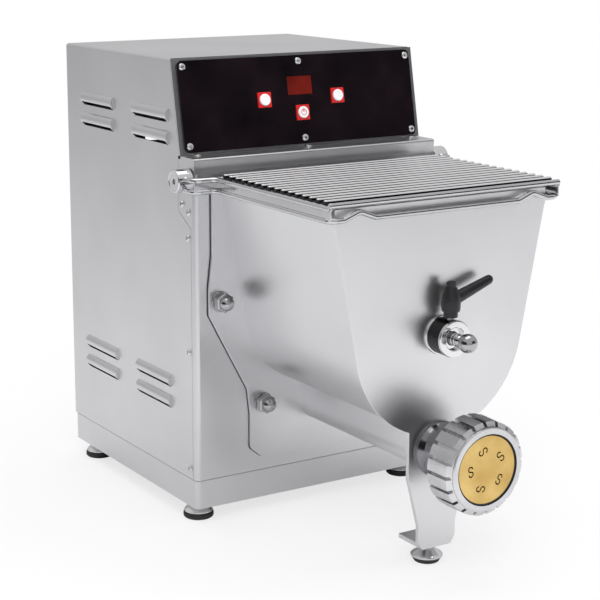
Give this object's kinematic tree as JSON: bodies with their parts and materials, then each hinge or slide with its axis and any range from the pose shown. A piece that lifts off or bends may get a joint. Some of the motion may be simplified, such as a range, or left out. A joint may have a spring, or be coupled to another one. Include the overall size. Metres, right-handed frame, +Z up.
{
  "type": "electric pasta maker",
  "caption": "Table-top dough kneader and pasta extruder: steel casing, round-bottomed tub with wire lid, auger outlet with ring nut.",
  "frame": {"origin": "on the table, under the middle of the machine's bounding box", "axes": "+X to the machine's right seen from the front, +Y to its rear, +Z up; the outlet faces -Y"},
  "size_m": [0.292, 0.52, 0.42],
  "materials": {
    "brushed": "brushed stainless sheet",
    "polished": "polished stainless steel",
    "fascia": "glossy black panel",
    "display": "dark red filter window",
    "bezel": "red gloss",
    "button": "white gloss",
    "board": "green circuit board",
    "aluminium": "machined aluminium",
    "bronze": "turned bronze",
    "lever": "black glass-filled nylon",
    "rubber": "matt black rubber",
    "steel": "machined steel",
    "black_plastic": "moulded black plastic",
    "motor_paint": "painted cast aluminium",
    "food_plastic": "white food-grade seal"
  },
  "bodies": {
    "machine": {"base_tray": "brushed", "front_panel": "brushed", "case_cover": "brushed", "rear_panel": "brushed", "console_sheet": "brushed", "fascia_plate": "fascia", "display_window": "display", "button_bezels": "bezel", "control_board": "board", "display_module": "black_plastic", "ledge": "brushed", "console_screws": "polished", "corner_posts": "steel", "casing_screws": "polished", "tub_shell": "brushed", "tub_flange": "brushed", "front_plate": "brushed", "tub_nuts": "polished", "flange_studs": "steel", "outlet_nozzle": "polished", "die": "bronze", "die_seal": "food_plastic", "paddle_boss": "polished", "front_drive_plate": "steel", "rear_drive_plate": "steel", "drive_spacers": "steel", "shaft_bearings": "polished", "shaft_seals": "food_plastic", "motor_housing": "motor_paint", "fan_cowl": "motor_paint", "run_capacitor": "aluminium", "terminal_block": "food_plastic", "cord_gland": "black_plastic", "hinge_bushes": "food_plastic", "lid_switch": "black_plastic", "foot_cups": "polished", "foot_pads": "rubber"},
    "lid": {"lid_frame": "polished", "lid_wires": "polished", "lid_hubs": "polished"},
    "ring": {"ring_nut": "aluminium"},
    "pin": {"locking_pin": "polished"},
    "lever": {"clamp_lever": "lever", "lever_cap": "lever", "clamp_screw": "steel"},
    "auger_drive": {"auger": "polished", "auger_gear": "steel"},
    "paddle_drive": {"mixing_paddle": "polished", "paddle_shaft": "steel", "paddle_gear": "steel"},
    "lay_drive": {"layshaft": "steel", "layshaft_wheel": "steel"},
    "rotor": {"motor_rotor": "steel", "motor_pinion": "steel", "motor_fan": "black_plastic"},
    "left_button": {"button_left": "button"},
    "right_button": {"button_right": "button"},
    "centre_button": {"button_centre": "button"},
    "toe_foot": {"toe_foot_cup": "polished", "toe_foot_pad": "rubber"}
  },
  "joints": [
    {"name": "lid_hinge", "type": "hinge", "parent": "machine", "child": "lid", "pos_m": [0, -0.002, 0.317], "axis": [-1, 0, 0], "range_deg": [0, 95]},
    {"name": "ring_turn", "type": "hinge", "parent": "machine", "child": "ring", "pos_m": [0, -0.25, 0.104], "axis": [0, 1, 0], "continuous": true},
    {"name": "pin_pull", "type": "slide", "parent": "machine", "child": "pin", "axis": [0, -1, 0], "range_m": [0, 0.04]},
    {"name": "lever_turn", "type": "hinge", "parent": "machine", "child": "lever", "pos_m": [0, -0.20678, 0.22], "axis": [0, 0, 1], "range_deg": [-90, 0]},
    {"name": "auger_turn", "type": "hinge", "parent": "machine", "child": "auger_drive", "pos_m": [0, -0.01, 0.104], "axis": [0, 1, 0], "continuous": true},
    {"name": "paddle_turn", "type": "hinge", "parent": "machine", "child": "paddle_drive", "pos_m": [0, -0.01, 0.203], "axis": [0, 1, 0], "continuous": true},
    {"name": "layshaft_turn", "type": "hinge", "parent": "machine", "child": "lay_drive", "pos_m": [-0.06202, 0.02, 0.12657], "axis": [0, 1, 0], "continuous": true},
    {"name": "rotor_turn", "type": "hinge", "parent": "machine", "child": "rotor", "pos_m": [-0.02919, 0.11, 0.18122], "axis": [0, 1, 0], "continuous": true},
    {"name": "toe_foot_turn", "type": "hinge", "parent": "machine", "child": "toe_foot", "pos_m": [0, -0.1815, 0.01], "axis": [0, 0, 1], "continuous": true},
    {"name": "left_button_press", "type": "slide", "parent": "machine", "child": "left_button", "axis": [0, 0.9816, -0.1908], "range_m": [0, 0.0012], "stiffness_N_per_m": 300},
    {"name": "right_button_press", "type": "slide", "parent": "machine", "child": "right_button", "axis": [0, 0.9816, -0.1908], "range_m": [0, 0.0012], "stiffness_N_per_m": 300},
    {"name": "centre_button_press", "type": "slide", "parent": "machine", "child": "centre_button", "axis": [0, 0.9816, -0.1908], "range_m": [0, 0.0012], "stiffness_N_per_m": 300}
  ],
  "couplings": [
    {"joint": "paddle_turn", "follows": "auger_turn", "ratio": -0.83333},
    {"joint": "layshaft_turn", "follows": "auger_turn", "ratio": -2.1429},
    {"joint": "rotor_turn", "follows": "auger_turn", "ratio": 11.868}
  ]
}
